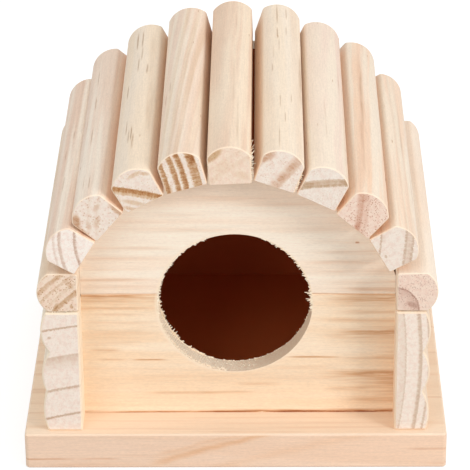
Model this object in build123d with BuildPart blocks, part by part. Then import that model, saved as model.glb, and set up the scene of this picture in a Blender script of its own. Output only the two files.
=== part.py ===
from build123d import *
from math import acos, atan, cos, degrees, floor, hypot, radians, sin
import os

# Wooden hamster house: a base board, two short walls of moulded log siding, a front and a back
# panel with an arched top, and a roof of half-round logs glued side by side over the arch.
# Millimetres. +Z is up, the entrance faces -Y, and the origin is the middle of the base's underside.

# Base board
base_thickness = 12.0
base_margin_side = 5.85     # base beyond each wall, left and right, when the house is centred
base_margin_end = 2.5       # base beyond the ends of walls and logs, front and back
base_corner = 1.2           # rounded upright corners
base_arris = 0.5            # eased edges, top and bottom

# House on the base
cabin_width = 96.0          # clear width between the walls
house_x = 0.9               # walls and panels were set this far to the right of the base's middle
house_length = 113.0        # length of walls and roof logs

# Walls: siding board with a row of rounded scallops outside, flat inside
left_wall_thickness = 11.8  # at the crest of a scallop
right_wall_thickness = 10.5
wall_height = 41.2
scallop_count = 3
notch_radius = 0.6          # bottom of a notch
wall_corner = 1.0           # rounded outer corners at the top and the foot
wall_arris = 0.5            # eased edges of the sawn ends

# The two walls come from different strips, planed and sanded by hand. Depth from the crests, from
# the foot up: at the foot, at each notch between two scallops and at the top.
left_notch_depths = [1.2, 1.1, 2.4, 1.8]
right_notch_depths = [0.8, 1.9, 1.9, 1.5]

# Front and back panels: two boards edge-glued, with straight sides and an arched top
panel_thickness = 6.8
front_setback = 11.0        # front panel behind the ends of walls and logs
back_setback = 2.0          # back panel inside the ends of walls and logs
seam_above_wall = 0.4       # joint between the two boards above the wall's top
shoulder_above_wall = 10.8  # straight side of the panel above the wall's top
arch_rise = 32.0            # top of the arch above the shoulders
arch_x = -0.6               # arch was sawn this far to the left of the base's middle
seam_arris = 0.25           # eased edge where the two boards meet

# Entrance
entrance_diameter = 47.5
entrance_height = 38.4      # centre above the floor
entrance_x = 0.0

# Roof logs
log_flat = 12.6             # flat face, glued to the panels
log_flare = 0.15            # each side leans out by this much up to the shoulder
log_side = 9.1              # from the flat face to the shoulder
log_height = 12.35          # from the flat face to the crown
log_gap = 0.15              # least gap between neighbours at the flat face
log_shoulder = 1.6          # radius where side and crown meet
log_arris = 0.4             # eased edges of the flat face
log_end_arris = 0.3         # eased edges of the sawn ends
wall_log_gap = 0.5          # upright log above the wall's top
upright_gap = 0.2           # upright log to the arch log above it
glue_line = 0.05            # log to arch

# How each arch log was laid by hand, left to right. A turn is a share of the least pitch between
# neighbours, to the right when positive; a shift moves the log to the back when positive. The play
# that the logs leave on the arch is shared out over the gaps between them.
log_turns = [-0.08, -0.45, 0.09, -0.11, -0.17, 0.41, -0.16, -0.18, 0.20]
log_shifts = [-0.9, 0.0, 0.1, -0.1, -0.4, 0.4, 0.0, -0.1, 0.2]
play_shares = [0.0, 0.25, 0.85, 0.25, 0.15, 0.75, 0.75, 0.3]

# How much longer than the walls each log was sawn, left to right, the upright ones included
log_extra_lengths = [0.0, -1.0, -1.2, -1.0, 0.6, 2.0, 2.0, -0.3, 2.4, 1.5, -1.9]

# Steel brads, driven up through the base
brad_diameter = 1.2
brad_length = 25.0
brad_head_diameter = 2.4
brad_head_thickness = 0.6
brad_point_diameter = 0.4   # blunt end of the point
brad_set = 0.5              # head below the underside
brad_clearance = 0.05       # around shank and head, and above the point
brad_end_inset = 22.0       # brads of a wall from the wall's ends
panel_brad_spacing = 56.0

# Sizes and places that follow
half_cabin = cabin_width / 2
half_length = house_length / 2
half_flat = log_flat / 2
base_width = cabin_width + left_wall_thickness + right_wall_thickness + 2 * base_margin_side
base_depth = house_length + 2 * base_margin_end
floor_z = base_thickness
wall_top_z = floor_z + wall_height
seam_z = wall_top_z + seam_above_wall
shoulder_z = wall_top_z + shoulder_above_wall
arch_top_z = shoulder_z + arch_rise
arch_radius = (half_cabin**2 + arch_rise**2) / (2 * arch_rise)
arch_centre_z = arch_top_z - arch_radius
entrance_z = floor_z + entrance_height
front_panel_y = -half_length + front_setback
back_panel_y = half_length - back_setback - panel_thickness
left_brad_x = house_x - half_cabin - (left_wall_thickness - max(left_notch_depths)) / 2
right_brad_x = house_x + half_cabin + (right_wall_thickness - max(right_notch_depths)) / 2


def facing_front(y):
    """Cross-section plane at depth y: its x is +X, its y is +Z and it faces the front."""
    return Plane.XZ.offset(-y)


# Brad places on the underside, grouped by the piece that each brad holds
wall_brad_rows = [-half_length + brad_end_inset, half_length - brad_end_inset]
left_wall_brads = [(left_brad_x, y) for y in wall_brad_rows]
right_wall_brads = [(right_brad_x, y) for y in wall_brad_rows]
panel_brads = {
    panel_y: [(house_x + side * panel_brad_spacing / 2, panel_y + panel_thickness / 2) for side in (-1, 1)]
    for panel_y in (front_panel_y, back_panel_y)
}
all_brads = left_wall_brads + right_wall_brads + panel_brads[front_panel_y] + panel_brads[back_panel_y]
bore_radius = brad_diameter / 2 + brad_clearance
point_z = brad_set + brad_length
bore_top_z = point_z + brad_clearance


def brad_bores(spots):
    """Cuts the part being built along the brads' shanks, up to just above their points."""
    with BuildSketch(Plane.XY) as bores:
        with Locations(*spots):
            Circle(bore_radius)
    extrude(bores.sketch, amount=bore_top_z, mode=Mode.SUBTRACT)


# Base board: flat, with eased edges and a sunk seat for each brad's head
with BuildPart() as base_board:
    Box(base_width, base_depth, base_thickness, align=(Align.CENTER, Align.CENTER, Align.MIN))
    fillet(base_board.edges().filter_by(Axis.Z), radius=base_corner)
    outlines = base_board.faces().filter_by(Axis.Z)
    chamfer(outlines[0].edges() + outlines[-1].edges(), length=base_arris)
    brad_bores(all_brads)
    with BuildSketch(Plane.XY):
        with Locations(*all_brads):
            Circle(brad_head_diameter / 2 + brad_clearance)
    extrude(amount=brad_set + brad_head_thickness, mode=Mode.SUBTRACT)


def siding_wall(side, thickness, notch_depths, brads):
    """Wall on the left (-1) or the right (1): flat towards the cabin, scallops towards the outside."""
    scallop_height = wall_height / scallop_count
    inner_x = house_x + side * half_cabin
    crest_x = inner_x + side * thickness
    depths = [notch_depths[number % len(notch_depths)] for number in range(scallop_count + 1)]
    notches = [
        (crest_x - side * depth, floor_z + number * scallop_height) for number, depth in enumerate(depths)
    ]
    with BuildPart() as wall:
        with BuildSketch(facing_front(-half_length)) as section:
            with BuildLine():
                for low, high in zip(notches, notches[1:]):
                    ThreePointArc(low, (crest_x, (low[1] + high[1]) / 2), high)
                Polyline(notches[-1], (inner_x, wall_top_z), (inner_x, floor_z), notches[0])
            make_face()
            half_section = side * (inner_x + crest_x) / 2
            outer_corners = section.vertices().filter_by(lambda corner: side * corner.X > half_section)
            outer_corners = outer_corners.sort_by(Axis.Y)
            fillet(outer_corners[1:-1], radius=notch_radius)
            fillet(outer_corners[0], radius=wall_corner)
            fillet(outer_corners[-1], radius=wall_corner)
        extrude(amount=-house_length)
        ends = wall.faces().sort_by(Axis.Y)
        chamfer(ends[0].edges() + ends[-1].edges(), length=wall_arris)
        brad_bores(brads)
    return wall


left_wall = siding_wall(-1, left_wall_thickness, left_notch_depths, left_wall_brads)
right_wall = siding_wall(1, right_wall_thickness, right_notch_depths, right_wall_brads)


def panel_board(front_y, bottom_z, top_z, with_entrance):
    """One board of an arched panel: the part of the whole panel between two heights."""
    with BuildPart() as board:
        with BuildSketch(facing_front(front_y)):
            with Locations((arch_x, arch_centre_z)):
                Circle(arch_radius)
            with Locations((house_x, (floor_z + arch_centre_z) / 2)):
                Rectangle(cabin_width, arch_centre_z - floor_z)
            with Locations((house_x, (bottom_z + top_z) / 2)):
                Rectangle(cabin_width, top_z - bottom_z, mode=Mode.INTERSECT)
            if with_entrance:
                with Locations((entrance_x, entrance_z)):
                    Circle(entrance_diameter / 2, mode=Mode.SUBTRACT)
        extrude(amount=-panel_thickness)
        seam_edges = board.edges().filter_by(Axis.X).filter_by_position(Axis.Z, seam_z - 0.01, seam_z + 0.01)
        chamfer(seam_edges, length=seam_arris)
        if bottom_z == floor_z:
            brad_bores(panel_brads[front_y])
    return board


front_panel_lower = panel_board(front_panel_y, floor_z, seam_z, with_entrance=True)
front_panel_upper = panel_board(front_panel_y, seam_z, arch_top_z, with_entrance=True)
back_panel_lower = panel_board(back_panel_y, floor_z, seam_z, with_entrance=False)
back_panel_upper = panel_board(back_panel_y, seam_z, arch_top_z, with_entrance=False)


def roof_log(x, z, lean, shift, extra_length):
    """Log with the middle of its flat face at x, z and its crown leaning to the right by lean degrees."""
    along = (cos(radians(lean)), 0, -sin(radians(lean)))
    half_shoulder = half_flat + log_flare
    with BuildPart() as log:
        with BuildSketch(Plane((x, -half_length + shift, z), x_dir=along, z_dir=(0, -1, 0))) as section:
            with BuildLine():
                Polyline(
                    (-half_shoulder, log_side),
                    (-half_flat, 0),
                    (half_flat, 0),
                    (half_shoulder, log_side),
                )
                ThreePointArc((half_shoulder, log_side), (0, log_height), (-half_shoulder, log_side))
            make_face()
            fillet(section.vertices().group_by(Axis.Y)[-1], radius=log_shoulder)
            chamfer(section.vertices().group_by(Axis.Y)[0], length=log_arris)
        extrude(amount=-(house_length + extra_length))
        ends = log.faces().sort_by(Axis.Y)
        chamfer(ends[0].edges() + ends[-1].edges(), length=log_end_arris)
    return log


# Roof logs. The first and the last stand upright on the walls, against the panels' straight sides.
# Between them as many as fit lie on the arch. A turned log rests with its flat face tangent to the
# arch, so its middle rises a little. The end logs clear the uprights when turned.
upright_z = wall_top_z + wall_log_gap + half_flat
upright_top = upright_z + half_flat + upright_gap
bed_radius = arch_radius + glue_line
least_pitch = 2 * degrees(atan((half_flat + log_gap / 2) / bed_radius))
turns = [radians(turn * least_pitch) for turn in log_turns]
widest_turn = max(abs(turn) for turn in turns)
corner_up = bed_radius / cos(widest_turn) - half_flat * sin(widest_turn)
corner_out = half_flat * cos(widest_turn)
corner_angle = degrees(acos((upright_top - arch_centre_z) / hypot(corner_up, corner_out)))
end_angle = corner_angle - degrees(atan(corner_out / corner_up))
arch_spaces = floor(2 * end_angle / least_pitch)
play = 2 * end_angle - arch_spaces * least_pitch
shares = [play_shares[number % len(play_shares)] for number in range(arch_spaces)]
extra_lengths = [log_extra_lengths[number % len(log_extra_lengths)] for number in range(arch_spaces + 3)]

roof_logs = [roof_log(house_x - half_cabin - glue_line, upright_z, -90, 0, extra_lengths[0])]
for number in range(arch_spaces + 1):
    turn = turns[number % len(turns)]
    play_before = play * sum(shares[:number]) / sum(shares)
    place = radians(-end_angle + number * least_pitch + play_before)
    middle = bed_radius / cos(turn)
    roof_logs.append(
        roof_log(
            arch_x + middle * sin(place),
            arch_centre_z + middle * cos(place),
            degrees(place + turn),
            log_shifts[number % len(log_shifts)],
            extra_lengths[number + 1],
        )
    )
roof_logs.append(roof_log(house_x + half_cabin + glue_line, upright_z, 90, 0, extra_lengths[-1]))

# Brads: flat head, round shank and a short point, all in one group
with BuildPart() as brad:
    with BuildSketch(Plane.XZ):
        with BuildLine():
            Polyline(
                (0, brad_set),
                (brad_head_diameter / 2, brad_set),
                (brad_head_diameter / 2, brad_set + brad_head_thickness),
                (brad_diameter / 2, brad_set + brad_head_thickness),
                (brad_diameter / 2, point_z - brad_diameter),
                (brad_point_diameter / 2, point_z),
                (0, point_z),
                close=True,
            )
        make_face()
    revolve(axis=Axis.Z)

with BuildPart() as base_brads:
    with Locations(*all_brads):
        add(brad.part)

pieces = {
    "base_board": base_board,
    "left_wall": left_wall,
    "right_wall": right_wall,
    "front_panel_lower": front_panel_lower,
    "front_panel_upper": front_panel_upper,
    "back_panel_lower": back_panel_lower,
    "back_panel_upper": back_panel_upper,
    "base_brads": base_brads,
}
for number, log in enumerate(roof_logs, start=1):
    pieces[f"roof_log_{number:02d}"] = log

os.makedirs("parts", exist_ok=True)
for name, piece in pieces.items():
    piece.part.label = name
    export_step(piece.part, f"parts/{name}.step")
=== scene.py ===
import math

import bpy
from mathutils import Matrix, Vector


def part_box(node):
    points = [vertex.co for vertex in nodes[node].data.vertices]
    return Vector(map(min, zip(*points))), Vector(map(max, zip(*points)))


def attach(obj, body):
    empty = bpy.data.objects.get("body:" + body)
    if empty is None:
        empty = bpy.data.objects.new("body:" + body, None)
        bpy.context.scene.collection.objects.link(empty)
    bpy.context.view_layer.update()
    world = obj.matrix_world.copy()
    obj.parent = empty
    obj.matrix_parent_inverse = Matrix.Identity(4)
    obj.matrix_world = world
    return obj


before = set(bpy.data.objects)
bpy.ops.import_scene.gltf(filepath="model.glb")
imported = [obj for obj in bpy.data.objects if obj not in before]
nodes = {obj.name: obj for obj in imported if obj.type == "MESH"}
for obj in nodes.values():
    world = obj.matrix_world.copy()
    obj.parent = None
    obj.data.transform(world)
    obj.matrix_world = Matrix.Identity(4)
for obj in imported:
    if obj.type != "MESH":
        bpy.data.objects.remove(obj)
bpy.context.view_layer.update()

# ---------------------------------------------------------------------------------------------
# Base board. A flat board of clear pine with its grain running left to right, sanded, with its
# edges eased. Walls and panels are glued to it and nailed from below.

MILLIMETRES = 1000.0        # Object coordinates are metres
X_AXIS, Y_AXIS, Z_AXIS = Vector((1, 0, 0)), Vector((0, 1, 0)), Vector((0, 0, 1))


class Wire:
    """One output socket of a material's nodes. Arithmetic on wires adds the Math nodes for it."""

    def __init__(self, tree, socket):
        self.tree = tree
        self.socket = socket

    def node(self, kind, settings, sockets, output=0):
        """Adds a node: its settings first, a ramp's stops among them, then its sockets."""
        added = self.tree.nodes.new(kind if "Node" in kind else "ShaderNode" + kind)
        for name, value in settings.items():
            if name == "stops":
                while len(added.color_ramp.elements) < len(value):
                    added.color_ramp.elements.new(1.0)
                for element, (place, level) in zip(added.color_ramp.elements, value):
                    element.position = place
                    element.color = (level, level, level, 1.0)
            else:
                setattr(added, name, value)
        for name, value in sockets.items():
            if isinstance(value, Wire):
                self.tree.links.new(value.socket, added.inputs[name])
            else:
                added.inputs[name].default_value = value
        return Wire(self.tree, added.outputs[output])

    def maths(self, operation, *others, clamp=False):
        """A Math node on this value and the others."""
        values = dict(enumerate((self, *others)))
        return self.node("Math", {"operation": operation, "use_clamp": clamp}, values)

    def __add__(self, other):
        return self.maths("ADD", other)

    def __sub__(self, other):
        return self.maths("SUBTRACT", other)

    def __mul__(self, other):
        return self.maths("MULTIPLY", other)

    def __truediv__(self, other):
        return self.maths("DIVIDE", other)

    def __rsub__(self, other):
        return self.node("Math", {"operation": "SUBTRACT"}, {0: other, 1: self})

    __radd__ = __add__
    __rmul__ = __mul__

    def size(self):
        """The same value without its sign."""
        return self.maths("ABSOLUTE")

    def held(self):
        """The same value, kept between 0 and 1."""
        return self.maths("ADD", 0.0, clamp=True)

    def between(self, low, high):
        """0 below low, 1 above high, and smooth between. With low above high it falls instead."""
        falls = low > high
        ends = {"Value": self, "From Min": min(low, high), "From Max": max(low, high)}
        ends.update({"To Min": 1.0, "To Max": 0.0} if falls else {"To Min": 0.0, "To Max": 1.0})
        return self.node("MapRange", {"interpolation_type": "SMOOTHSTEP"}, ends)

    def dot(self, direction):
        """How far this point or normal reaches in a direction."""
        return self.node("VectorMath", {"operation": "DOT_PRODUCT"}, {0: self, 1: direction}, output=1)


def shade(red, green, blue):
    """A colour given as it shows on a screen, 0 to 255, as the renderer's linear colour."""
    parts = [value / 255 for value in (red, green, blue)]
    return tuple(p / 12.92 if p <= 0.04045 else ((p + 0.055) / 1.055) ** 2.4 for p in parts) + (1.0,)


def vector(x, y, z):
    """One point or direction from its three values."""
    return x.node("CombineXYZ", {}, {0: x, 1: y, 2: z})


def noise(point, detail=2.0, roughness=0.5):
    """Smooth random value around 0.5, with features about one unit of the point across."""
    sockets = {"Vector": point, "Scale": 1.0, "Detail": detail, "Roughness": roughness}
    return point.node("TexNoise", {}, sockets)


def cells(point, output):
    """Random cells about one unit across: output 0 is the distance from a cell's middle, output 1
    the cell's own colour."""
    return point.node("TexVoronoi", {}, {"Vector": point, "Scale": 1.0}, output=output)


def mixed(factor, first, second):
    """Colour between the first and the second by the factor."""
    return factor.node("Mix", {"data_type": "RGBA"}, {0: factor, 6: first, 7: second}, output=2)


def lightened(colour, factor):
    """The colour with its brightness times the factor."""
    return factor.node("HueSaturation", {}, {"Color": colour, "Value": factor})


def darkening(pale, dark):
    """What the dark wood leaves of the light that the pale wood gives back."""
    return tuple(min(low / high, 1.0) for high, low in zip(pale, dark))


def stained(colour, stain, strength):
    """The colour under a stain. Twice the strength darkens it twice over, so weak stains stay warm."""
    tint = strength.node("Gamma", {}, {"Color": stain, "Gamma": strength})
    settings = {"data_type": "RGBA", "blend_type": "MULTIPLY"}
    return strength.node("Mix", settings, {0: 1.0, 6: colour, 7: tint}, output=2)


def added_up(parts):
    """The sum of some values."""
    total = parts[0]
    for part in parts[1:]:
        total = total + part
    return total


EARLY_WOOD = 1.3            # reach of a growth line towards the pith, in its half widths
EARLY_DEPTH = 0.8           # and how deep it already is where its darkest part begins


def growth_lines(lines, span):
    """Ramp stops for growth lines at distances from the section's origin, away from the pith. A
    line is (distance, half width, depth): it deepens slowly on the pith's side and ends more
    sharply. Lines that touch run into each other."""
    places = [(-span, 0.0)]
    for distance, half, depth in sorted(lines):
        begin, end = distance - EARLY_WOOD * half, distance + half
        if begin <= places[-1][0] and len(places) > 1:
            places.pop()
        else:
            places.append((begin, 0.0))
        places.append((distance - half / 2, EARLY_DEPTH * depth))
        places.append((distance + half / 2, depth))
        places.append((end, 0.0))
    places.append((span, 0.0))
    return [((place + span) / (2 * span), level) for place, level in places]


STREAK_BLUR = 1.5           # reach of a streak's soft edge, in its half widths
STREAK_CORE = 0.25          # the part of its length that has its full depth
STAIN_CORE = 0.35           # the part of a stain that has its full depth


def streaks(marks, upwards):
    """Smudges along the grain: from, to, place across the grain, half width, depth. The place is
    a height where upwards is true, and otherwise a distance sideways."""
    def along_grain(along, across, up, bend):
        place = (up if upwards else across) + bend
        parts = []
        for start, end, middle, half, depth in marks:
            fade = ((along - (start + end) / 2) / ((end - start) / 2)).size().between(1.0, STREAK_CORE)
            parts.append(fade * (place - middle).size().between(STREAK_BLUR * half, 0.0) * depth)
        return added_up(parts)
    return along_grain


def stains(marks):
    """Darker patches of a sawn end: place across, place up, angle, half length, half width, depth."""
    def on_end(across, up):
        parts = []
        for middle_across, middle_up, angle, half_length, half_width, depth in marks:
            turn = math.radians(angle)
            right, above = across - middle_across, up - middle_up
            far = (right * math.cos(turn) + above * math.sin(turn)) / half_length
            near = (above * math.cos(turn) - right * math.sin(turn)) / half_width
            away = (far * far + near * near).maths("SQRT")
            parts.append(away.between(1.0, STAIN_CORE) * depth)
        return added_up(parts)
    return on_end


# The space inside: between the panels, over the floor and under the arch. Its faces get painted shade
ARCH_RADIUS = 52.0
UNDER_LOGS = 1.2            # a log's flat face strays from the arch by less than this
FADE = 0.1                  # width over which the painted shade of the inner faces ends
front_low, front_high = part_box("front_panel_lower")
back_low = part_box("back_panel_lower")[0]
arch_middle_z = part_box("front_panel_upper")[1].z * MILLIMETRES - ARCH_RADIUS
cabin_middle_x = (front_low.x + front_high.x) / 2 * MILLIMETRES
cabin_half_width = (front_high.x - front_low.x) / 2 * MILLIMETRES
cabin_front, cabin_back = front_high.y * MILLIMETRES, back_low.y * MILLIMETRES
cabin_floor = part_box("base_board")[1].z * MILLIMETRES


def distance_from(x, z, middle_x, middle_z):
    """How far a point lies from an axis that runs front to back."""
    squares = (x - middle_x).maths("POWER", 2.0) + (z - middle_z).maths("POWER", 2.0)
    return squares.maths("SQRT")


def inside_cabin(x, y, z):
    """1 on faces that look into the house, which get painted shade, 0 on all others."""
    from_middle = distance_from(x, z, cabin_middle_x, arch_middle_z)
    under_roof = from_middle.between(ARCH_RADIUS + UNDER_LOGS + FADE, ARCH_RADIUS + UNDER_LOGS)
    below_arch = (z - arch_middle_z).between(FADE, 0.0)
    between_walls = ((x - cabin_middle_x).size() - cabin_half_width).between(2 * FADE, FADE)
    between_panels = (y - cabin_front).between(-FADE / 2, 0.0) * (y - cabin_back).between(FADE / 2, 0.0)
    above_floor = (z - cabin_floor).between(-FADE, -FADE / 2)
    return between_panels * between_walls * above_floor * under_roof.maths("MAXIMUM", below_arch)


CLOUD = (0.96, 0.88, 0.86, 1.0)         # what a cloud in a sawn end leaves of each colour


def clouded(pale, blotches):
    """The pale wood of a sawn end with slightly pinker clouds in it."""
    pinker = tuple(part * left for part, left in zip(pale, CLOUD))
    return mixed(blotches.between(0.40, 0.66) * 0.8, pale, pinker)


PALE_EDGE_AND_HIGHLIGHT = shade(255, 234, 208)        # sanded arris, pale partly from the sanding and partly as painted highlight
RESIN = shade(158, 112, 76)             # short dark resin canals
INSIDE_PAINTED_SHADE = shade(206, 108, 56)     # painted shade of the inner faces
SANDED_GLOSS = 0.3                      # bare wood, with nothing on it
SANDED_ROUGHNESS, SAWN_ROUGHNESS = 0.62, 0.82
RELIEF = 0.00012                        # depth of pores and fibres, in metres
FLANK_TOP, FLANK_FOOT = 9.0, 4.5        # heights on a log between which the painted shade of its low sides begins

# Patterns of the wood: length along the grain and width across it, and a shift that sets them apart
LONG_WAVES, SHORT_WAVES = (60.0, 22.0, 0.0), (14.0, 6.0, 3.0)
STRANDS, GRAINS = (7.0, 0.38, 11.0), (1.3, 0.5, 19.0)
CLOUDS, PATCHES = (16.0, 4.0, 37.0), (35.0, 5.0, 9.0)
SMUDGES, CANALS = (18.0, 0.9, 15.0), (9.0, 1.1, 17.0)
TORN_END, BLOTCHES = (40.0, 0.42, 23.0), (40.0, 1.3, 27.0)
CROWDED_PORES = (60.0, 2.2, 31.0)
PORE_LENGTH, PORE_SHIFT = 60.0, 29.0
BAND_LENGTH, LINE_LENGTH, LINE_WIDTH = 130.0, 45.0, 0.8
RAY_WIDTH, RAY_REACH, RAY_DEPTH = 0.75, 3.0, 30.0


def pine(name, axes, pith, lines, colours, seed, streak=None, stain=None, finish=None, flank=None,
         wander=0.6, taper=0.01, steady=None, long_depth=0.3, bands=0.7, band_width=2.6,
         canals=0.5, pores=0.3, pore_size=0.62, comb=0.3, edges=0.5, mark=None, span=16.0,
         inside=INSIDE_PAINTED_SHADE):
    """Sanded pine as solid wood: growth lines are shells around the pith. Sizes in millimetres.

    axes are the piece's origin and its directions along the grain, across it and up. pith is the
    angle across the growth lines, in degrees, and how far off the pith lies on the other side.
    lines are the growth lines, within span of the origin. colours are the pale wood, its darker
    tone, the brown of the growth lines and the pale wood of a sawn end.
    streak, stain and finish are functions that add what only this piece has, and flank is a
    colour painted as shade on the low sides, in the gaps between the logs.
    wander is how far the growth lines stray, taper how fast they run out along the grain, and
    steady the length from the front end over which they start to waver. long_depth is how strongly
    they show on the long grain, and bands the broad tones between them, each about band_width wide.
    canals and pores are how many of them show, comb is how much the rays break up the growth lines
    of a sawn end, and edges how pale the sanded arrises are, partly as painted highlight.
    mark is the colour of the streaks, where it isn't the brown of the growth lines, and inside the
    colour painted on the faces that look into the house, as their shade.
    """
    pale, tone, brown, end_pale = colours
    material = bpy.data.materials.new(name)
    material.use_nodes = True
    tree = material.node_tree
    tree.nodes.clear()
    coordinates = tree.nodes.new("ShaderNodeTexCoord")
    point = Wire(tree, coordinates.outputs["Object"])
    normal = Wire(tree, coordinates.outputs["Normal"])
    x, y, z = (point.dot(axis * MILLIMETRES) for axis in (X_AXIS, Y_AXIS, Z_AXIS))
    origin = axes[0] * MILLIMETRES
    along, across, up = (point.dot(axis * MILLIMETRES) - origin.dot(axis) for axis in axes[1:])
    end_facing = normal.dot(axes[1]).size()

    def stretched(length, width, shift):
        """A point for a pattern of that length along the grain and that width across it."""
        offset = seed * 7.31 + shift
        return vector(along / length + offset, across / width + 2.7 * offset, up / width - offset)

    # Growth lines: how far a point lies from the line through the origin
    wavering = (noise(stretched(*LONG_WAVES), 1.0) - 0.5) * (2 * wander)
    wavering = wavering + (noise(stretched(*SHORT_WAVES), 1.0) - 0.5) * (0.5 * wander)
    if steady:
        wavering = wavering * along.between(0.0, steady)
    angle, reach = math.radians(pith[0]), pith[1]
    squares = (across + reach * math.cos(angle)).maths("POWER", 2.0)
    squares = squares + (up + reach * math.sin(angle)).maths("POWER", 2.0)
    ring = squares.maths("SQRT") - reach + wavering + along * taper
    stops = growth_lines(lines, span)

    def growth(distance):
        share = (distance + span) / (2 * span)
        return share.node("ValToRGB", {"stops": stops}, {0: share})

    # Long grain: broad tones between the growth lines, thin lines, fibres and resin canals
    nothing = up * 0.0
    bands_at = vector(ring / band_width + seed, along / BAND_LENGTH - seed, nothing + 3.1 * seed)
    lines_at = vector(ring / LINE_WIDTH - seed, along / LINE_LENGTH + seed, nothing + 1.7 * seed)
    broad = noise(bands_at, 2.0)
    thin = noise(lines_at, 3.0, 0.65) - 0.5
    strands = noise(stretched(*STRANDS), 3.0, 0.6) - 0.5
    grains = noise(stretched(*GRAINS), 2.0, 0.6) - 0.5
    cloudy = noise(stretched(*CLOUDS), 2.0) - 0.5
    patchy = noise(stretched(*PATCHES), 2.0).between(0.25, 0.75) * 0.6 + 0.4
    long_lines = growth(ring)
    body = mixed((broad.between(0.38, 0.62) * bands + cloudy * 0.5).held(), pale, tone)
    body = lightened(body, thin * 0.08 + strands * 0.20 + grains * 0.22 + 1.0)
    darker = darkening(pale, brown)
    body = stained(body, darker, long_lines * patchy * long_depth)
    # painted shade on the low sides, in the gaps between the logs
    if flank:
        body = stained(body, darkening(pale, flank), up.between(FLANK_TOP, FLANK_FOOT))
    if streak:
        uneven = noise(stretched(*SMUDGES), 3.0, 0.65).between(0.30, 0.66) * 0.8 + 0.15
        uneven = uneven + strands * 0.9 + grains * 0.5
        smudges = streak(along, across, up, wavering * 0.4 + thin * 0.5)
        smudge = darkening(pale, mark) if mark else darker
        body = stained(body, smudge, (smudges * uneven).maths("MAXIMUM", 0.0))
    canals_at = stretched(*CANALS)
    chosen = cells(canals_at, 1).dot(X_AXIS).between(1.0 - 0.2 * canals, 1.03 - 0.2 * canals)
    dashes = cells(canals_at, 0).between(0.19, 0.06) * chosen
    body = stained(body, darkening(pale, RESIN), dashes * 0.45)

    # End grain: growth lines stronger and ragged, crossed by rays, with torn pores
    radial = across * math.cos(angle) + up * math.sin(angle)
    tangential = up * math.cos(angle) - across * math.sin(angle)
    rays_at = vector(tangential / RAY_WIDTH + seed, radial / RAY_REACH - seed, along / RAY_DEPTH)
    rays = noise(rays_at, 2.0, 0.6)
    torn = noise(stretched(*TORN_END), 3.0, 0.7)
    blotches = noise(stretched(*BLOTCHES), 2.0, 0.6)
    ragged = (torn - 0.5) * 0.9 + (rays - 0.5) * (0.3 + 0.8 * comb)
    end_stain = growth(ring + ragged)
    if stain:
        end_stain = end_stain + stain(across + ragged * 0.4, up + ragged * 0.4)
    broken = (rays.between(0.36, 0.64) - 0.5) * comb + (torn - 0.5) * 1.2 + 0.85
    end_stain = (end_stain * broken).maths("MAXIMUM", 0.0)
    pits = cells(stretched(PORE_LENGTH, pore_size, PORE_SHIFT), 0).between(0.46, 0.05)
    crowded = noise(stretched(*CROWDED_PORES), 1.0).between(0.36, 0.56)
    end_stain = end_stain + pits * crowded * pores
    sawn = stained(clouded(end_pale, blotches), darkening(end_pale, brown), end_stain)
    sawn = lightened(sawn, (torn - 0.5) * 0.20 + (rays - 0.5) * 0.10 + 1.03)

    # The whole piece: sawn ends, sanded arrises at 45 degrees paler partly by painted highlight, and what
    # only this piece has
    end = end_facing.between(0.80, 0.95)
    arris = (end_facing - math.sqrt(0.5)).size().between(0.25, 0.05)
    colour = mixed(end, body, sawn)
    colour = mixed(arris * edges, colour, PALE_EDGE_AND_HIGHLIGHT)
    if finish:
        colour = finish(colour, x, y, z, torn)
    # painted shade on the faces that look into the house
    colour = mixed(inside_cabin(x, y, z), colour, inside)

    height = strands * 0.5 + thin * 0.3 - long_lines * 0.3 + end * torn * 1.1 - dashes * 0.5
    bump = height.node("Bump", {}, {"Strength": 0.6, "Distance": RELIEF, "Height": height})
    rough = SANDED_ROUGHNESS + end * (SAWN_ROUGHNESS - SANDED_ROUGHNESS) - long_lines * 0.08
    shader = tree.nodes.new("ShaderNodeBsdfPrincipled")
    shader.inputs["Specular IOR Level"].default_value = SANDED_GLOSS
    tree.links.new(colour.socket, shader.inputs["Base Color"])
    tree.links.new(rough.socket, shader.inputs["Roughness"])
    tree.links.new(bump.socket, shader.inputs["Normal"])
    output = tree.nodes.new("ShaderNodeOutputMaterial")
    tree.links.new(shader.outputs[0], output.inputs["Surface"])
    return material


def dress(node, material):
    """Gives a CAD piece its finish."""
    mesh = nodes[node].data
    mesh.materials.clear()
    mesh.materials.append(material)


BOARD = (Vector((0, 0, 0)), X_AXIS, Y_AXIS, Z_AXIS)     # grain left to right, places as on the house
BASE_HALF_WIDTH = 65.0
BASE_TIP = -28.0            # where the slanting growth lines of the base's front edge start
FIGURE_SLOPE, FIGURE_BEND = 0.42, 0.88                  # how steeply they rise, and ever less
BASE_FIGURE = [(0.6, 1.6, 0.55), (2.7, 1.3, 0.25), (-7.0, 2.2, 0.15)]   # their height, width, depth
FIGURE_DRIFT, FIGURE_RAG = 2.4, 0.9                     # how far they wander, and how ragged they are
BASE_LINE = darkening(shade(246, 214, 186), shade(230, 178, 134))
# the top is painted paler and less orange than the front edge: painted light
TOP_PAINTED_LIGHT, TOP_LIGHT_SHARE = shade(255, 241, 216), 0.4
ARRIS_DEPTH = 0.8           # the painted light of the top gives way to the front edge over this depth
base_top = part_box("base_board")[1].z * MILLIMETRES


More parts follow.
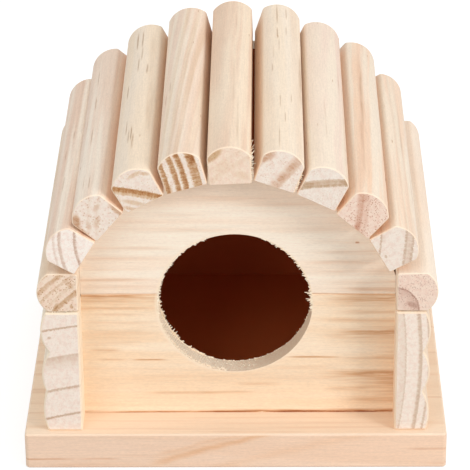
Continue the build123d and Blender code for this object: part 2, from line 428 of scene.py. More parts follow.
def base_finish(colour, x, y, z, torn):
    """Growth lines that rise to the right across the front edge. The top is painted
    paler, as painted light.
    """
    lift = ((x - BASE_TIP).maths("MAXIMUM", 0.0) * FIGURE_SLOPE).maths("POWER", FIGURE_BEND)
    drift = noise(vector(x / 9.0, z / 6.0, z * 0.0), 1.0) - 0.5
    line = z - lift + drift * FIGURE_DRIFT + (torn - 0.5) * FIGURE_RAG
    lines = [(line - height).size().between(width, 0.0) * depth for height, width, depth in BASE_FIGURE]
    edge = z.between(base_top, base_top - ARRIS_DEPTH)
    colour = stained(colour, BASE_LINE, added_up(lines) * edge * x.between(BASE_TIP, BASE_TIP + 8.0))
    to_the_right = x.between(-BASE_HALF_WIDTH, BASE_HALF_WIDTH)
    colour = lightened(colour, to_the_right * edge * 0.09 + 0.965 + (torn - 0.5) * 0.12)
    return mixed((1 - edge) * TOP_LIGHT_SHARE, colour, TOP_PAINTED_LIGHT)


base_edge = streaks([
    (-74.0, -46.0, 3.2, 0.3, 0.8), (-50.0, -34.0, 3.1, 0.3, 0.6), (-40.0, -22.0, 4.4, 0.4, 0.15),
    (50.0, 74.0, 6.8, 0.35, 0.5), (56.0, 74.0, 1.8, 0.35, 0.5), (-64.0, -20.0, 1.0, 0.8, 0.15)], upwards=True)
base_face = streaks([
    # the first mark: painted shade along the foot of the front panel
    (-90.0, -20.0, -45.6, 0.6, 0.5), (-80.0, -40.0, -21.0, 0.9, 0.8), (-84.0, -40.0, -13.5, 1.1, 0.8),
    (-90.0, -40.0, -2.0, 1.4, 0.4), (-90.0, -44.0, 6.0, 0.8, 0.7), (-90.0, -44.0, -32.0, 1.6, 0.6),
    (-90.0, -40.0, -39.5, 0.8, 0.4), (-90.0, -40.0, -54.5, 1.2, 0.45), (-60.0, 20.0, -55.5, 0.6, 0.4),
    (-16.0, 30.0, -57.2, 0.5, 0.5), (-44.0, 60.0, -49.0, 0.6, 0.3), (-60.0, 0.0, -50.8, 0.5, 0.3),
    (-30.0, 60.0, -52.0, 0.7, 0.35), (0.0, 64.0, -54.6, 0.7, 0.4), (54.0, 90.0, -7.5, 0.5, 0.9),
    (52.0, 90.0, -36.5, 0.5, 0.8), (48.0, 90.0, -52.0, 0.9, 0.35), (50.0, 90.0, 10.0, 0.7, 0.6),
    (50.0, 90.0, -22.0, 1.2, 0.4)], upwards=False)


def base_streaks(along, across, up, bend):
    """Streaks of the front edge and of the top."""
    return base_edge(along, across, up, bend) + base_face(along, across, up, bend)


dress("base_board", pine(
    "pine_base", BOARD, seed=1, pith=(118.0, 90.0), span=34.0,
    lines=[(-13.0, 1.2, 0.35), (-6.0, 0.8, 0.5), (-1.0, 0.9, 0.35), (5.0, 0.7, 0.5),
           (11.0, 0.8, 0.5), (19.0, 1.1, 0.5), (27.0, 1.0, 0.5)],
    colours=(shade(246, 214, 188), shade(242, 206, 177), shade(206, 146, 108), shade(232, 202, 176)),
    wander=2.0, taper=0.02, canals=0.0, band_width=3.5, edges=0.25,
    finish=base_finish, streak=base_streaks,
))

# ---------------------------------------------------------------------------------------------
# Side walls. Two lengths of moulded log siding, grain running front to back, with three rounded
# scallops outside. Their sawn ends show the growth lines. Each is glued and nailed to the base.


def wall_axes(node):
    """Front end of a wall at the middle of its box, then its directions."""
    low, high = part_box(node)
    return Vector(((low.x + high.x) / 2, low.y, (low.z + high.z) / 2)), Y_AXIS, X_AXIS, Z_AXIS


dress("left_wall", pine(
    "pine_left_wall", wall_axes("left_wall"), seed=2, pith=(101.0, 120.0), span=24.0,
    lines=[(-14.8, 0.4, 0.7), (-5.6, 0.5, 0.55), (2.4, 1.2, 0.12), (4.0, 1.1, 0.25),
           (5.3, 0.6, 0.4), (15.1, 0.35, 0.7)],
    colours=(shade(254, 240, 218), shade(250, 232, 206), shade(178, 142, 114), shade(246, 231, 217)),
    wander=0.5, steady=20.0, pores=0.1,
    stain=stains([(-3.2, 12.1, 0.0, 0.8, 0.6, 0.4), (-5.2, -20.0, -40.0, 2.4, 0.9, 0.9)]),
))
dress("right_wall", pine(
    "pine_right_wall", wall_axes("right_wall"), seed=3, pith=(-1.4, 144.0),
    lines=[(-3.2, 1.4, 0.14), (-2.2, 0.3, 0.35), (2.3, 0.65, 0.5), (4.9, 0.4, 0.45)],
    colours=(shade(246, 228, 206), shade(248, 220, 190), shade(178, 146, 118), shade(247, 232, 217)),
    wander=0.8, steady=20.0, pores=0.1,
))

# ---------------------------------------------------------------------------------------------
# Front panel. Two boards edge-glued, grain running across, the lower one yellower. The round
# entrance is cut by a hole saw, which leaves a rough grey-beige wall and torn fibres at the rim.

ENTRANCE_X, ENTRANCE_Z, ENTRANCE_RADIUS = 0.0, 50.4, 23.75
HOLE_PALE_AND_LIT = shade(255, 247, 226)        # pale specks, and the painted light of the wall's left side
HOLE_TAN_AND_SHADED = shade(240, 206, 172)         # tan specks, and the painted shade of its right side
PAINTED_LIGHT_SIDE, PAINTED_SHADE_SIDE = -16.0, 18.0     # left and right of the entrance's middle, where painted light gives way to painted shade
FUZZ_WIDTH, FUZZ_DEPTH = 0.7, 1.1       # of the specks on its wall
RIM_REACH = 0.55                        # of the torn wood round it, on the panel's face
# Both boards: pale wood, darker tone, growth lines, pale wood of a sawn end
LOWER_BOARD = (shade(254, 231, 203), shade(251, 219, 183), shade(182, 122, 80), shade(250, 226, 196))
UPPER_BOARD = (shade(255, 241, 222), shade(252, 229, 206), shade(188, 136, 102), shade(252, 232, 206))


def sawn_hole(colour, x, y, z, torn):
    """The wall of the entrance is fuzzy, with pale and tan specks. It is painted paler on the left, as
    painted light, and browner on the right, as painted shade. The rim is fuzzy and paler too:
    torn wood partly, painted highlight partly."""
    beyond = distance_from(x, z, ENTRANCE_X, ENTRANCE_Z) - ENTRANCE_RADIUS
    # smooth is the share of painted shade: painted light on the left, painted shade on the right
    smooth = (x - ENTRANCE_X).between(PAINTED_LIGHT_SIDE, PAINTED_SHADE_SIDE)
    fuzz = noise(vector(x / FUZZ_WIDTH, y / FUZZ_DEPTH, z / FUZZ_WIDTH), 3.0, 0.7)
    rough = mixed((smooth * 0.8 + fuzz.between(0.44, 0.62) * 0.8 - 0.15).held(), HOLE_PALE_AND_LIT, HOLE_TAN_AND_SHADED)
    colour = mixed(beyond.between(0.10, 0.04), colour, rough)
    # a paler rim of torn wood and painted highlight, narrower to the right
    rim = (beyond - torn * 0.9 + smooth * 0.5).between(RIM_REACH, 0.0)
    return mixed(rim * 0.6, colour, PALE_EDGE_AND_HIGHLIGHT)


dress("front_panel_lower", pine(
    "pine_front_lower", BOARD, seed=4, pith=(88.0, 300.0), span=60.0,
    lines=[(16.0, 0.5, 0.2), (29.0, 0.4, 0.2), (44.0, 0.5, 0.2)],
    colours=LOWER_BOARD, wander=0.8, canals=0.0, band_width=5.0, finish=sawn_hole,
    streak=streaks([
        (-56.0, -16.0, 52.3, 1.5, 0.45), (-56.0, -18.0, 53.3, 0.3, 0.5), (-42.0, -26.0, 50.4, 0.8, 0.14),
        (-56.0, -20.0, 48.9, 0.6, 0.26), (-46.0, -26.0, 46.8, 0.6, 0.16), (-50.0, -20.0, 44.0, 0.9, 0.14),
        (-50.0, -20.0, 40.0, 2.6, 0.13), (-46.0, -34.0, 34.4, 0.9, 0.27), (-33.0, -20.0, 30.9, 0.35, 0.8),
        (-44.0, -32.0, 31.0, 0.4, 0.27), (-50.0, -24.0, 36.6, 0.9, 0.16), (-30.0, -2.0, 19.0, 0.5, 0.3),
        (-14.0, 8.0, 19.2, 0.4, 0.3), (-2.0, 16.0, 22.0, 0.6, 0.18), (-50.0, 50.0, 24.5, 2.0, 0.10),
        (20.0, 64.0, 53.3, 0.25, 0.4), (24.0, 62.0, 52.0, 1.2, 0.50), (22.0, 60.0, 50.2, 1.4, 0.20),
        (24.0, 60.0, 47.4, 1.0, 0.22), (22.0, 60.0, 44.6, 1.0, 0.24), (34.0, 64.0, 42.6, 0.8, 0.30),
        (30.0, 66.0, 40.6, 1.0, 0.60), (22.0, 66.0, 39.2, 2.4, 0.30), (14.0, 34.0, 31.6, 0.35, 0.7),
        (30.0, 56.0, 31.2, 0.5, 0.25), (26.0, 66.0, 25.9, 1.0, 0.50), (20.0, 66.0, 24.6, 2.2, 0.26),
        (6.0, 36.0, 28.0, 0.8, 0.14), (26.0, 44.0, 20.4, 0.8, 0.24), (30.0, 60.0, 16.4, 1.6, 0.22),
        # painted shade near the right wall
        (34.0, 80.0, 22.0, 5.0, 0.40), (36.0, 80.0, 33.0, 5.0, 0.25),
        # painted shade along the foot, where the panel meets the base
        (-90.0, 90.0, 12.2, 0.4, 1.2), (-20.0, 110.0, 12.2, 0.9, 1.1),
    ], upwards=True),
))
dress("front_panel_upper", pine(
    "pine_front_upper", BOARD, seed=5, pith=(92.0, 300.0), span=100.0,
    lines=[(60.0, 0.5, 0.2), (73.0, 0.4, 0.2), (82.0, 0.5, 0.2)],
    colours=UPPER_BOARD, wander=0.8, canals=0.0, band_width=5.0, finish=sawn_hole,
    streak=streaks([
        (-22.0, 24.0, 86.2, 1.2, 0.15), (-4.0, 32.0, 84.0, 1.0, 0.16), (-30.0, 0.0, 80.6, 0.8, 0.08),
        (-36.0, 4.0, 75.6, 0.9, 0.16), (4.0, 40.0, 76.0, 1.6, 0.12), (-46.0, -14.0, 69.4, 0.7, 0.20),
        (18.0, 46.0, 71.6, 0.8, 0.16), (36.3, 38.0, 71.3, 0.35, 1.2), (20.0, 52.0, 68.0, 0.9, 0.18),
        (-50.0, -18.0, 66.0, 0.7, 0.15), (18.0, 50.0, 64.6, 0.9, 0.20), (-52.0, -20.0, 62.4, 0.8, 0.14),
        (20.0, 56.0, 61.0, 1.2, 0.17), (-56.0, -20.0, 58.6, 0.6, 0.26), (22.0, 62.0, 57.6, 1.2, 0.22),
        (26.0, 62.0, 55.2, 0.9, 0.36), (-50.0, -22.0, 56.0, 0.8, 0.12), (-60.0, 60.0, 53.8, 0.3, 0.6),
    ], upwards=True),
))

# ---------------------------------------------------------------------------------------------
# Back panel. Two edge-glued pine boards, sawn to the same arch as the front panel but without
# an entrance. It is glued between the walls and nailed through the base.

BACK_INSIDE_PAINTED_SHADE = shade(198, 98, 48)        # painted shade of its inner face, deeper than on the other inner faces

dress("back_panel_lower", pine(
    "pine_back_lower", BOARD, seed=6, pith=(88.0, 300.0), span=60.0,
    lines=[(14.0, 0.5, 0.5), (21.0, 0.6, 0.4), (29.0, 0.4, 0.5), (37.0, 0.7, 0.45), (46.0, 0.5, 0.5)],
    colours=LOWER_BOARD, wander=1.6, canals=0.3, inside=BACK_INSIDE_PAINTED_SHADE,
    streak=streaks([
        (-50.0, 50.0, 12.3, 0.8, 0.6), (-20.0, 34.0, 33.0, 0.6, 0.5), (-46.0, -12.0, 41.0, 0.5, 0.5),
        (10.0, 46.0, 47.5, 0.7, 0.45), (-44.0, -8.0, 24.0, 0.4, 0.4),
    ], upwards=True),
))
dress("back_panel_upper", pine(
    "pine_back_upper", BOARD, seed=7, pith=(92.0, 300.0), span=100.0,
    lines=[(58.0, 0.5, 0.5), (66.0, 0.6, 0.4), (75.0, 0.5, 0.5), (84.0, 0.6, 0.4), (91.0, 0.5, 0.5)],
    colours=UPPER_BOARD, wander=1.6, canals=0.3,
    streak=streaks([
        (-50.0, 50.0, 53.7, 0.25, 0.6), (-40.0, 0.0, 62.0, 0.6, 0.4), (5.0, 42.0, 70.0, 0.5, 0.45),
        (-26.0, 10.0, 80.0, 0.6, 0.4),
    ], upwards=True),
))

# ---------------------------------------------------------------------------------------------
# Roof logs. Eleven lengths of half-round pine moulding, glued side by side over the arched
# panels, the first and the last upright on the walls. Each is cut from another part of a tree.

# Long grain: pale wood and its darker tones
# LIT_LOG is a paler copy of the pale wood, painted light for the second, third and last log
LIT_LOG = shade(252, 238, 220)
LOG_PALE = shade(247, 230, 209)
LOG_CREAM = shade(247, 227, 202)
LOG_PINK = shade(240, 212, 190)
LOG_TAN = shade(236, 206, 180)
LOG_AMBER = shade(245, 210, 180)
LOG_FLANK_SHADE = shade(248, 219, 192)        # painted shade on the low sides, in the gaps between the logs
DASH_BROWN = shade(152, 116, 88)        # short streaks on the crown
# Sawn ends: pale wood
END_WARM = shade(243, 221, 200)
END_COOL = shade(242, 228, 214)
END_PALE = shade(252, 241, 230)
END_PINK = shade(242, 218, 200)


def log_axes(node):
    """Middle of a log's flat face at its front end, then its directions: along, across, to the crown."""
    mesh = nodes[node].data
    flat = max(mesh.polygons, key=lambda face: face.area)
    crown = -flat.normal
    across = Vector((crown.z, 0.0, -crown.x))
    reaches = [vertex.co.dot(across) for vertex in mesh.vertices]
    front = min(vertex.co.y for vertex in mesh.vertices)
    middle = across * (min(reaches) + max(reaches)) / 2 + crown * flat.center.dot(crown)
    return Vector((middle.x, front, middle.z)), Y_AXIS, across, crown


# For each log from left to right: the pith's side, growth lines, colours, stains of its front end
# and dashes on its crown. Places on an end are across and up from the middle of the flat face, and
# dashes run from and to a distance from the front end. The first and the last log, which stand
# upright on the walls, get no painted shade on their sides.
log_wood = [
    dict(pith=(39.0, 60.0),
         lines=[(0.5, 0.85, 0.6), (3.0, 0.6, 0.12), (5.5, 0.5, 0.25), (7.9, 0.8, 0.4), (10.9, 0.7, 0.5)],
         colours=(LOG_PALE, LOG_CREAM, shade(176, 130, 90), END_WARM),
         bands=0.9, pores=0.8, flank=None,
         stain=[(-4.4, 6.6, -30.0, 1.6, 0.8, 0.4), (-4.6, 1.9, 30.0, 1.0, 0.7, 0.5),
                (3.0, 2.4, 40.0, 2.6, 1.2, 0.25)],
         dashes=[(68, 78, 3.0, 0.25, 0.3), (84, 92, 1.2, 0.25, 0.3)]),
    dict(pith=(137.0, 24.5), lines=[(2.0, 0.5, 0.55), (6.6, 0.55, 0.38), (8.3, 0.45, 0.2)],
         colours=(LIT_LOG, LOG_PINK, shade(168, 130, 108), END_PALE),
         bands=1.0, pores=0.1,
         stain=[],
         dashes=[(26, 40, 3.4, 0.25, 0.35), (50, 60, 2.4, 0.25, 0.4), (64, 72, 4.4, 0.25, 0.3)]),
    dict(pith=(129.0, 70.0), lines=[(4.0, 0.6, 0.08), (6.6, 0.6, 0.08)],
         colours=(LIT_LOG, LOG_PINK, shade(178, 128, 92), END_COOL),
         long_depth=0.2, pores=0.35, pore_size=0.8,
         stain=[(-5.2, 8.8, 42.0, 3.4, 1.7, 0.7), (-6.4, 5.6, 90.0, 3.0, 1.2, 0.4),
                (5.9, 2.0, 84.0, 4.4, 1.5, 0.5), (-1.2, 4.2, 20.0, 2.4, 1.2, 0.2),
                (2.4, 7.2, 10.0, 2.0, 1.0, 0.2), (-3.6, 5.2, 60.0, 2.0, 1.0, 0.2)],
         dashes=[(82, 98, 1.9, 0.22, 0.4), (62, 76, 2.1, 0.22, 0.5), (36, 52, 2.3, 0.22, 0.4),
                 (6, 18, 1.6, 0.22, 0.4), (4, 16, 3.6, 0.22, 0.4), (52, 62, -0.8, 0.22, 0.2)]),
    dict(pith=(49.3, 90.0), lines=[(2.5, 0.5, 0.35), (3.65, 0.9, 0.95)],
         colours=(LOG_PALE, LOG_CREAM, shade(166, 110, 62), END_COOL),
         long_depth=0.2, bands=1.0, pores=0.2,
         stain=[(1.8, 10.1, 4.0, 3.0, 0.9, 0.22), (4.8, 9.0, -35.0, 2.0, 0.8, 0.22),
                (-2.6, 2.2, -40.0, 5.0, 1.0, 0.22), (-4.4, 1.0, -40.0, 3.0, 0.8, 0.2)],
         dashes=[(91, 108, -0.2, 0.25, 0.6), (91, 109, 1.6, 0.25, 0.6), (81, 95, 1.8, 0.25, 0.5),
                 (72, 86, 1.0, 0.25, 0.5), (54, 67, -2.0, 0.3, 0.45), (26, 39, -1.0, 0.22, 0.6),
                 (19, 31, 0.0, 0.25, 0.8), (20, 33, 0.9, 0.25, 0.7), (14, 27, 1.5, 0.28, 0.8),
                 (60, 108, 4.8, 0.8, 0.12), (20, 70, 5.4, 0.8, 0.2), (70, 80, 3.8, 0.25, 0.5)]),
    dict(pith=(-5.5, 60.0), taper=-0.06,
         lines=[(-5.45, 0.8, 0.75), (-2.3, 0.85, 0.75), (0.1, 0.9, 0.9), (3.0, 0.75, 0.6),
                (4.35, 0.6, 0.6)],
         colours=(LOG_PALE, LOG_PINK, shade(160, 106, 62), END_COOL),
         long_depth=0.15, bands=0.7, band_width=1.8, pores=0.15, comb=0.5,
         stain=[(3.9, 9.4, 90.0, 2.6, 1.6, 0.5), (-5.0, 1.5, 90.0, 2.4, 1.2, 0.2)],
         dashes=[(38, 50, -4.6, 0.22, 0.3), (46, 58, -3.2, 0.22, 0.3)]),
    dict(pith=(125.0, 60.0), lines=[(4.5, 0.9, 0.08), (7.4, 0.6, 0.06)],
         colours=(LOG_TAN, LOG_CREAM, shade(178, 134, 88), END_WARM),
         bands=0.9, pores=0.12,
         stain=[(-4.5, 9.6, 38.0, 4.2, 1.6, 0.6), (3.6, 3.0, -20.0, 3.6, 1.8, 0.1),
                (-2.0, 6.0, 30.0, 4.0, 1.6, 0.08)],
         dashes=[(0, 40, 2.6, 0.35, 0.2), (26, 74, 1.2, 0.3, 0.15), (90, 108, 1.6, 0.22, 0.2)]),
    dict(pith=(-25.7, 80.0), lines=[(-8.6, 1.4, 0.2), (-0.2, 1.7, 0.34)],
         colours=(LOG_PALE, LOG_CREAM, shade(178, 124, 90), END_COOL),
         pores=0.22,
         stain=[(-4.9, 9.0, 50.0, 3.4, 1.9, 0.3), (2.8, 8.2, 65.0, 2.6, 1.2, 0.2),
                (1.2, 3.8, 60.0, 2.0, 1.0, 0.25)],
         dashes=[(96, 117, -2.6, 0.22, 0.4), (84, 96, -2.7, 0.22, 0.45), (102, 114, 0.5, 0.22, 0.42),
                 (74, 86, -2.2, 0.2, 0.38), (68, 82, -3.8, 0.2, 0.3), (0, 22, -2.4, 0.22, 0.42),
                 (38, 88, 5.4, 0.8, 0.45), (20, 29, -0.6, 0.2, 0.42), (88, 97, 0.2, 0.2, 0.36),
                 (36, 44, 1.6, 0.22, 0.32), (30, 42, -2.0, 0.2, 0.36), (58, 66, -4.2, 0.2, 0.32)]),
    dict(pith=(122.0, 90.0), lines=[(5.5, 0.5, 0.65), (6.4, 0.9, 0.5), (7.25, 0.3, 0.4)],
         colours=(LOG_PALE, shade(243, 218, 200), shade(170, 134, 100), shade(241, 229, 216)),
         bands=0.9, pores=0.15,
         stain=[(-4.6, 4.4, 30.0, 2.6, 1.2, 0.2), (4.8, 10.0, 15.0, 2.2, 1.0, 0.3)],
         dashes=[(56, 84, 3.8, 0.25, 0.2), (16, 54, -2.0, 0.25, 0.15)]),
    dict(pith=(30.2, 60.0), taper=-0.03, lines=[(1.7, 1.1, 0.45), (3.2, 1.3, 0.18)],
         colours=(LOG_PALE, LOG_AMBER, shade(180, 122, 96), END_PINK),
         long_depth=0.25, bands=0.75, pores=0.85, pore_size=0.5,
         stain=[(0.8, 1.4, -60.0, 2.6, 1.1, 0.2), (-3.3, 9.4, -60.0, 2.2, 1.1, 0.2)],
         dashes=[(40, 110, -3.4, 0.7, 0.3), (10, 60, -4.2, 0.5, 0.2)]),
    dict(pith=(53.5, 90.0), lines=[(0.0, 0.3, 0.5), (7.4, 0.4, 0.5), (8.4, 1.0, 0.25), (9.45, 0.45, 0.5)],
         colours=(LOG_PALE, shade(246, 216, 190), shade(174, 138, 110), END_COOL),
         bands=0.9, pores=0.1, comb=0.5,
         stain=[(1.0, 1.7, 0.0, 0.8, 0.6, 0.4), (-4.6, 3.9, -40.0, 1.8, 0.8, 0.12)],
         dashes=[(46, 94, -2.4, 0.4, 0.2), (16, 54, 1.0, 0.4, 0.2)]),
    dict(pith=(170.5, 6.1), lines=[(-2.0, 2.4, 0.18), (0.6, 1.0, 0.35), (1.4, 0.4, 0.8)],
         colours=(LIT_LOG, shade(248, 222, 198), shade(166, 126, 110), END_PINK),
         pores=0.5, pore_size=0.55, comb=0.2, flank=None,
         stain=[(4.2, 4.6, 60.0, 2.4, 1.2, 0.4)],
         dashes=[(4, 26, 5.2, 0.5, 0.2), (36, 64, 5.8, 0.4, 0.3)]),
]
for number, wood in enumerate(log_wood, start=1):
    log = f"roof_log_{number:02d}"
    dashes = streaks(wood.pop("dashes"), upwards=False)
    patches = wood.pop("stain")
    wood.setdefault("flank", LOG_FLANK_SHADE)
    dress(log, pine(
        f"pine_log_{number:02d}", log_axes(log), seed=10 + number, wander=0.7, steady=15.0, canals=0.35,
        mark=DASH_BROWN, streak=dashes, stain=stains(patches) if patches else None, **wood,
    ))

# ---------------------------------------------------------------------------------------------
# Torn fibres. The saw leaves short fibres standing where it cuts across the grain: on the rims and
# the wall of the entrance, and on the sides and ends of three roof logs. They are the pine of their
# pieces and part of them.

FIBRE_PALE = shade(255, 242, 220)
FUZZ = pine(
    "torn_fibre", BOARD, seed=9, pith=(90.0, 300.0), span=100.0, lines=[(60.0, 0.5, 0.2)],
    colours=(FIBRE_PALE, shade(253, 232, 204), shade(176, 116, 66), FIBRE_PALE), inside=FIBRE_PALE,
)
UNEVENNESS = 0.55           # how far fibres stray from their lean, as a share of it
SHORTEST = 0.35             # of the longest, before it is squared
FIBRE_SIDES, FIBRE_BENDS = 4, 2
ROOT_RADIUS, TIP_RADIUS = 0.5, 0.15     # of a fibre's thickness
FLATNESS = 0.6
GOLDEN = 0.618              # spreads roots evenly over a depth
ROOT_DEPTH = 0.03           # roots lie this far inside the wood


def fibre_tree():
    """Stands a tapered fibre on every point, leaning one way, with a few much longer than most."""
    tree = bpy.data.node_groups.new("torn_fibres", "GeometryNodeTree")
    tree.interface.new_socket("Geometry", in_out="OUTPUT", socket_type="NodeSocketGeometry")
    inputs = [("Points", "Geometry"), ("Lean", "Vector"), ("Unevenness", "Float"), ("Length", "Float"),
              ("Thickness", "Float"), ("Seed", "Int"), ("Wood", "Material")]
    for name, kind in inputs:
        tree.interface.new_socket(name, in_out="INPUT", socket_type="NodeSocket" + kind)
    given = tree.nodes.new("NodeGroupInput")
    points, lean, unevenness, length, thickness, seed, wood = (
        Wire(tree, given.outputs[name]) for name, kind in inputs)
    drawn = {0: (-1, -1, -1), 1: (1, 1, 1), "Seed": seed}
    stray = points.node("FunctionNodeRandomValue", {"data_type": "FLOAT_VECTOR"}, drawn)
    stray = stray.node("VectorMath", {"operation": "SCALE"}, {0: stray, "Scale": unevenness})
    direction = stray.node("VectorMath", {"operation": "ADD"}, {0: stray, 1: lean})
    turned = direction.node("FunctionNodeAlignRotationToVector", {"axis": "Z"}, {"Vector": direction})
    drawn = {2: SHORTEST, 3: 1.0, "Seed": seed + 1.0}
    share = points.node("FunctionNodeRandomValue", {"data_type": "FLOAT"}, drawn, output=1)
    long = length * share.maths("POWER", 2.0)
    thick = thickness * (share * 0.5 + 0.5)
    fibre = points.node("GeometryNodeMeshCone", {}, {
        "Vertices": FIBRE_SIDES, "Side Segments": FIBRE_BENDS,
        "Radius Top": TIP_RADIUS, "Radius Bottom": ROOT_RADIUS, "Depth": 1.0})
    stand = points.node("GeometryNodeInstanceOnPoints", {}, {
        "Points": points, "Instance": fibre, "Rotation": turned,
        "Scale": vector(thick, thick * FLATNESS, long)})
    plain = stand.node("GeometryNodeRealizeInstances", {}, {"Geometry": stand})
    finished = plain.node("GeometryNodeSetMaterial", {}, {"Geometry": plain, "Material": wood})
    tree.links.new(finished.socket, tree.nodes.new("NodeGroupOutput").inputs[0])
    return tree


torn_fibres = fibre_tree()


def fibres(name, roots, lean, length, thickness, seed):
    """A group of torn fibres on given roots, as one piece of plain mesh."""
    start = bpy.data.meshes.new(name + "_roots")
    start.from_pydata(roots, [], [])
    growing = bpy.data.objects.new(name + "_roots", start)
    bpy.context.scene.collection.objects.link(growing)
    modifier = growing.modifiers.new("fibres", "NODES")
    modifier.node_group = torn_fibres
    values = {"Lean": lean, "Unevenness": UNEVENNESS, "Length": length / MILLIMETRES,
              "Thickness": thickness / MILLIMETRES, "Seed": seed, "Wood": FUZZ}
    for socket in torn_fibres.interface.items_tree:
        if socket.in_out == "INPUT" and socket.name in values:
            modifier[socket.identifier] = values[socket.name]
    bpy.context.view_layer.update()
    grown = growing.evaluated_get(bpy.context.evaluated_depsgraph_get())
    mesh = bpy.data.meshes.new_from_object(grown)
    mesh.name = name
    bpy.data.objects.remove(growing)
    piece = bpy.data.objects.new(name, mesh)
    bpy.context.scene.collection.objects.link(piece)
    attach(piece, "root")


def rim_roots(near, far, start, end, count):
    """Points a hair inside the wood round the entrance, from one angle and depth to another."""
    radius = (ENTRANCE_RADIUS + ROOT_DEPTH) / MILLIMETRES
    turns = [math.radians(start + (end - start) * step / (count - 1)) for step in range(count)]
    middle_x, middle_z = ENTRANCE_X / MILLIMETRES, ENTRANCE_Z / MILLIMETRES
    return [(middle_x + radius * math.cos(turn), near + (far - near) * (step * GOLDEN % 1.0),
             middle_z + radius * math.sin(turn)) for step, turn in enumerate(turns)]


panel_front, panel_back = front_low.y, front_high.y
SET_IN = 0.0002             # roots at a rim lie this far in from the panel's face, in metres
IN_FRONT, BEHIND = panel_front + SET_IN, panel_back - SET_IN
# name, depths and angles from and to, count, lean, length and thickness in millimetres
rims = [
    ("fuzz_front_left", IN_FRONT, IN_FRONT, 112.0, 190.0, 100, (1.0, 0.0, 0.0), 1.0, 0.8),
    ("fuzz_front_low", IN_FRONT, IN_FRONT + 0.0010, 184.0, 262.0, 150, (1.0, 0.0, 0.5), 0.6, 0.7),
    ("fuzz_front_right", IN_FRONT, IN_FRONT, -6.0, 70.0, 95, (-1.0, 0.0, 0.0), 1.3, 0.9),
    ("fuzz_front_splinter", IN_FRONT, IN_FRONT, 2.0, 9.0, 16, (-1.0, 0.0, 0.1), 2.4, 0.6),
    ("fuzz_back_left", BEHIND, BEHIND, 168.0, 252.0, 130, (1.0, 0.1, 0.15), 1.1, 0.7),
    ("fuzz_back_notch", BEHIND, BEHIND, 196.0, 200.0, 8, (1.0, 0.1, 0.15), 1.3, 0.8),
    ("fuzz_back_tuft", BEHIND, BEHIND, 214.0, 218.0, 8, (1.0, 0.1, 0.6), 1.6, 0.6),
    ("fuzz_back_right", BEHIND, BEHIND, 262.0, 352.0, 90, (-1.0, 0.1, 0.2), 0.6, 0.45),
    ("fuzz_wall", panel_front + 0.0006, panel_back - 0.0006, 176.0, 286.0, 260, (1.0, 0.2, 0.4), 0.5, 0.35),
]
for seed, (name, near, far, start, end, count, lean, length, thickness) in enumerate(rims, start=31):
    roots = rim_roots(near, far, start, end, count)
    fibres(name, roots, lean, length, thickness, seed)


def log_roots(node, across, low, high, near, far, count):
    """Points on a log's side, that far across it, between two heights and two distances from its front."""
    origin, along, sideways, crown = log_axes(node)
    roots = []
    for step in range(count):
        height = low + (high - low) * step / (count - 1)
        distance = near + (far - near) * (step * GOLDEN % 1.0)
        roots.append(origin + (along * distance + sideways * across + crown * height) / MILLIMETRES)
    return roots


# name, log, place across, heights, distances from the front, count, lean, length, thickness
tufts = [
    ("fuzz_log_06_end", "roof_log_06", 6.2, 1.5, 9.0, 0.2, 0.6, 30, (1.0, -0.3, 0.2), 1.3, 0.6),
    ("fuzz_log_06_side", "roof_log_06", 6.2, 6.0, 9.0, 0.6, 12.0, 18, (0.8, -0.2, 0.9), 2.4, 0.45),
    ("fuzz_log_07_end", "roof_log_07", 6.2, 0.6, 6.5, 0.2, 0.6, 26, (1.0, -0.3, 0.1), 1.2, 0.6),
    ("fuzz_log_01_foot", "roof_log_01", -6.3, 2.0, 8.5, 0.2, 0.6, 18, (0.3, -0.2, -1.0), 0.7, 0.5),
]
for seed, (name, log, across, low, high, near, far, count, lean, length, thickness) in enumerate(tufts, 51):
    roots = log_roots(log, across, low, high, near, far, count)
    fibres(name, roots, lean, length, thickness, seed)

# ---------------------------------------------------------------------------------------------
# Brads. Headed pins of bright drawn steel wire, driven up through the base into the walls and
# panels, with their heads set below its underside.

WIRE_BRIGHT = shade(196, 196, 192)
WIRE_DULL = shade(150, 148, 142)
WIRE_ROUGHNESS = 0.28
DIE_LINE_WIDTH, DIE_LINE_LENGTH = 0.12, 6.0
DIE_LINE_DEPTH = 0.00002    # in metres
DULL_WIDTH, DULL_LENGTH = 3.0, 4.0


def drawn_wire(name):
    """Bright steel wire: fine lines along the shank from the drawing die, and duller patches."""
    material = bpy.data.materials.new(name)
    material.use_nodes = True
    tree = material.node_tree
    tree.nodes.clear()
    point = Wire(tree, tree.nodes.new("ShaderNodeTexCoord").outputs["Object"])
    x, y, z = (point.dot(axis * MILLIMETRES) for axis in (X_AXIS, Y_AXIS, Z_AXIS))
    lines = noise(vector(x / DIE_LINE_WIDTH, y / DIE_LINE_WIDTH, z / DIE_LINE_LENGTH), 2.0)
    dull = noise(vector(x / DULL_WIDTH, y / DULL_WIDTH, z / DULL_LENGTH), 3.0, 0.6).between(0.4, 0.7)
    rough = WIRE_ROUGHNESS + dull * 0.25 + lines * 0.1
    shader = tree.nodes.new("ShaderNodeBsdfPrincipled")
    shader.inputs["Metallic"].default_value = 1.0
    bump = lines.node("Bump", {}, {"Strength": 0.5, "Distance": DIE_LINE_DEPTH, "Height": lines})
    tree.links.new(mixed(dull, WIRE_BRIGHT, WIRE_DULL).socket, shader.inputs["Base Color"])
    tree.links.new(rough.socket, shader.inputs["Roughness"])
    tree.links.new(bump.socket, shader.inputs["Normal"])
    tree.links.new(shader.outputs[0], tree.nodes.new("ShaderNodeOutputMaterial").inputs["Surface"])
    return material


dress("base_brads", drawn_wire("brad_steel"))

# ---------------------------------------------------------------------------------------------
# Camera, floor and soft light. Not part of the house. A long lens looks down at the entrance, and
# three soft lights and a pale sky light the house on white paper.

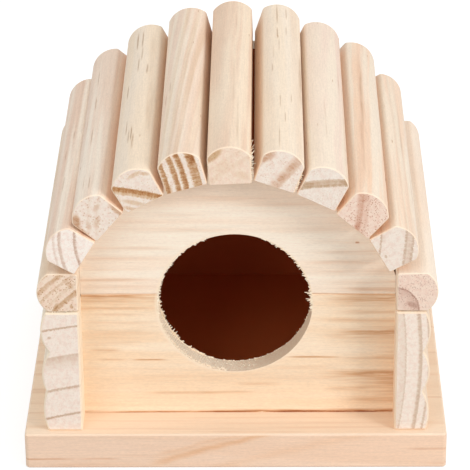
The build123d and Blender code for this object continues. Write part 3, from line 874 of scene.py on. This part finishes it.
CAMERA_PLACE = (0.00952, -0.76097, 0.43414)
CAMERA_TURN, CAMERA_TILT, CAMERA_ROLL = 0.744, -26.724, -0.504     # degrees, from level and straight
LENS, FILM_WIDTH = 203.47, 36.0
FARTHEST = 20.0
camera_data = bpy.data.cameras.new("camera")
camera_data.lens = LENS
camera_data.sensor_width = FILM_WIDTH
camera_data.clip_end = FARTHEST
camera = bpy.data.objects.new("camera", camera_data)
bpy.context.scene.collection.objects.link(camera)
turn = Matrix.Rotation(math.radians(CAMERA_TURN), 4, "Z")
tilt = Matrix.Rotation(math.radians(90.0 + CAMERA_TILT), 4, "X")
roll = Matrix.Rotation(math.radians(CAMERA_ROLL), 4, "Z")
camera.matrix_world = Matrix.Translation(CAMERA_PLACE) @ turn @ tilt @ roll
bpy.context.scene.camera = camera


def shown(tree):
    """1 where the camera looks, also by reflection or through glass, and 0 for light on the house."""
    path = tree.nodes.new("ShaderNodeLightPath")
    rays = [path.outputs[f"Is {ray} Ray"] for ray in ("Camera", "Glossy", "Transmission")]
    return added_up([Wire(tree, ray) for ray in rays]).held()


FLOOR_REACH = 4.0
FLOOR_DROP = 0.00005        # a hair below the base, so that no faces coincide
PAPER = (0.55, 0.55, 0.55, 1.0)
PAPER_GLOW = 0.62           # brings the shown floor up to white, with the house's shadow on it
WHITE = (1.0, 1.0, 1.0, 1.0)
floor_mesh = bpy.data.meshes.new("floor")
corners = [(right * FLOOR_REACH, back * FLOOR_REACH, -FLOOR_DROP)
           for right, back in ((-1, -1), (1, -1), (1, 1), (-1, 1))]
floor_mesh.from_pydata(corners, [], [(0, 1, 2, 3)])
floor = bpy.data.objects.new("floor", floor_mesh)
bpy.context.scene.collection.objects.link(floor)
paper = bpy.data.materials.new("floor_paper")
paper.use_nodes = True
tree = paper.node_tree
tree.nodes.clear()
seen = shown(tree)
matt = seen.node("BsdfDiffuse", {}, {"Color": PAPER})
glow = seen.node("Emission", {}, {"Color": WHITE, "Strength": seen * PAPER_GLOW})
both = seen.node("AddShader", {}, {0: matt, 1: glow})
tree.links.new(both.socket, tree.nodes.new("ShaderNodeOutputMaterial").inputs["Surface"])
floor_mesh.materials.append(paper)

SKY_LIGHT = 0.55            # on the house. The shown sky is white
world = bpy.data.worlds.new("world")
bpy.context.scene.world = world
world.use_nodes = True
tree = world.node_tree
tree.nodes.clear()
seen = shown(tree)
strength = SKY_LIGHT + seen * (1.0 - SKY_LIGHT)
sky = seen.node("Background", {}, {"Color": WHITE, "Strength": strength})
tree.links.new(sky.socket, tree.nodes.new("ShaderNodeOutputWorld").inputs["Surface"])


def softbox(name, place, target, size, power):
    """A square soft light that faces the target: size in metres, power in watts."""
    data = bpy.data.lights.new(name, "AREA")
    data.size = size
    data.energy = power
    lamp = bpy.data.objects.new(name, data)
    lamp.location = place
    lamp.rotation_euler = (Vector(target) - Vector(place)).to_track_quat("-Z", "Y").to_euler()
    bpy.context.scene.collection.objects.link(lamp)


house_middle = (0.0, 0.0, 0.05)
softbox("top_light", place=(0.0, -0.10, 1.10), target=house_middle, size=0.9, power=2.15)
softbox("key_light", place=(1.15, -0.86, 0.72), target=house_middle, size=0.50, power=10.0)
softbox("fill_light", place=(-0.75, -1.15, 0.75), target=house_middle, size=0.9, power=5.3)

bpy.context.scene.view_settings.view_transform = "Standard"
